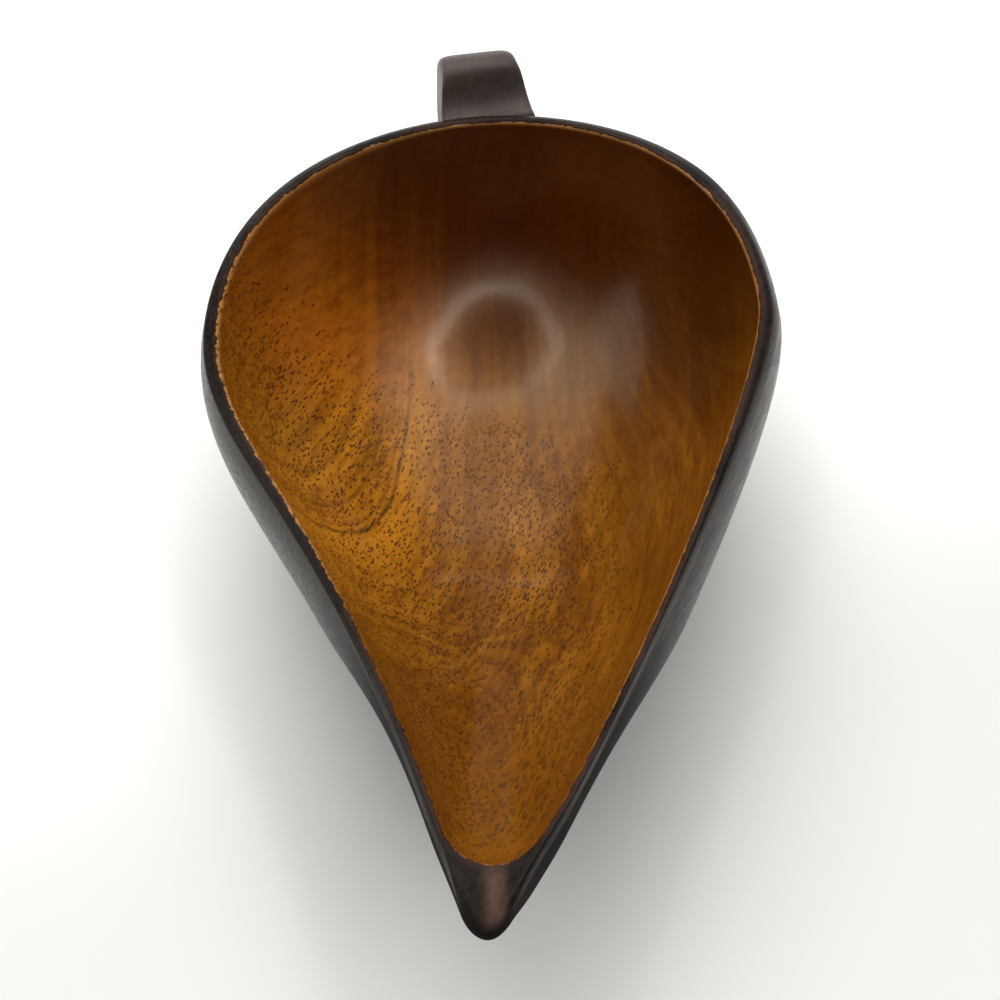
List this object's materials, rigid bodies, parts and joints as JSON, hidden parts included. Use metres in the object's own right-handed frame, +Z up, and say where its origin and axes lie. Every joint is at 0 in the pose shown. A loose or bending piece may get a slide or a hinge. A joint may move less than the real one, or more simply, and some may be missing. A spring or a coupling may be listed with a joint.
{
  "type": "serving scoop",
  "caption": "Hand-carved wooden serving scoop: a deep teardrop bowl running out to a pouring nose, dark lacquer outside, and a looped ear handle at the back.",
  "frame": {"origin": "middle of the flat bare foot, on the surface that the scoop stands on", "axes": "+Z up, -Y towards the pouring nose, +Y towards the handle, +X to the right seen from behind the nose"},
  "size_m": [0.1085, 0.1933, 0.0592],
  "materials": {
    "golden_wood": "clear semi-gloss lacquer over golden hardwood",
    "dark_lacquer": "satin charcoal-brown lacquer",
    "dark_wood": "dark-stained wood under satin lacquer",
    "peg_wood": "bare turned hardwood"
  },
  "bodies": {
    "root": {"bowl_core": "golden_wood", "lacquer_coat": "dark_lacquer", "loop_handle": "dark_wood", "upper_peg": "peg_wood", "lower_peg": "peg_wood"}
  },
  "joints": []
}
